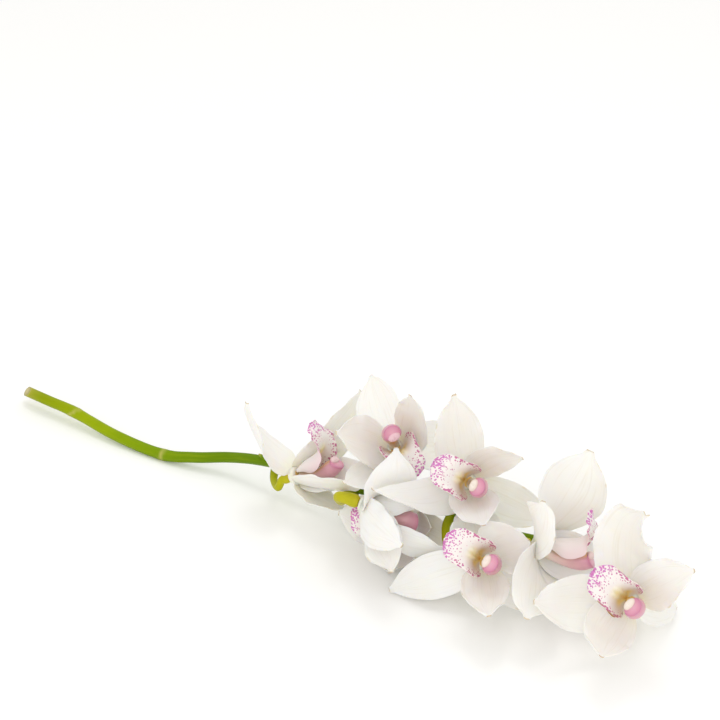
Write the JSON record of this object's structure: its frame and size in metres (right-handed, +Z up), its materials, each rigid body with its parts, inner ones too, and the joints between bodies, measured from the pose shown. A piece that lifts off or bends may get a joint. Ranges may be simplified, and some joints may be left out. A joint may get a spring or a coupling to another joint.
{
  "type": "cymbidium orchid stem",
  "caption": "Cut orchid stem lying on its side: a bare, gently bent stem and, at its far end, open white blooms with spotted lips and dark pink columns.",
  "frame": {"origin": "middle of the whole stem's length and width, at the surface that it lies on", "axes": "+X along the lying stem from its cut end to its tip, +Z up from the surface, +Y to the side that most blooms turn away from"},
  "size_m": [0.5432, 0.1444, 0.1189],
  "materials": {
    "stem": "satin",
    "tepal": "satin",
    "lip": "satin",
    "column": "satin",
    "anther_cap": "satin"
  },
  "bodies": {
    "root": {"stem": "stem", "bloom_a_tepals": "tepal", "bloom_a_lip": "lip", "bloom_a_column": "column", "bloom_a_anther_cap": "anther_cap", "bloom_b_tepals": "tepal", "bloom_b_lip": "lip", "bloom_b_column": "column", "bloom_b_anther_cap": "anther_cap", "bloom_c_tepals": "tepal", "bloom_c_lip": "lip", "bloom_c_column": "column", "bloom_c_anther_cap": "anther_cap", "bloom_d_tepals": "tepal", "bloom_d_lip": "lip", "bloom_d_column": "column", "bloom_d_anther_cap": "anther_cap", "bloom_e_tepals": "tepal", "bloom_e_lip": "lip", "bloom_e_column": "column", "bloom_e_anther_cap": "anther_cap", "bloom_f_tepals": "tepal", "bloom_f_lip": "lip", "bloom_f_column": "column", "bloom_f_anther_cap": "anther_cap", "bloom_g_tepals": "tepal", "bloom_g_lip": "lip", "bloom_g_column": "column", "bloom_g_anther_cap": "anther_cap", "bloom_h_tepals": "tepal", "bloom_h_lip": "lip", "bloom_h_column": "column", "bloom_h_anther_cap": "anther_cap"}
  },
  "joints": []
}
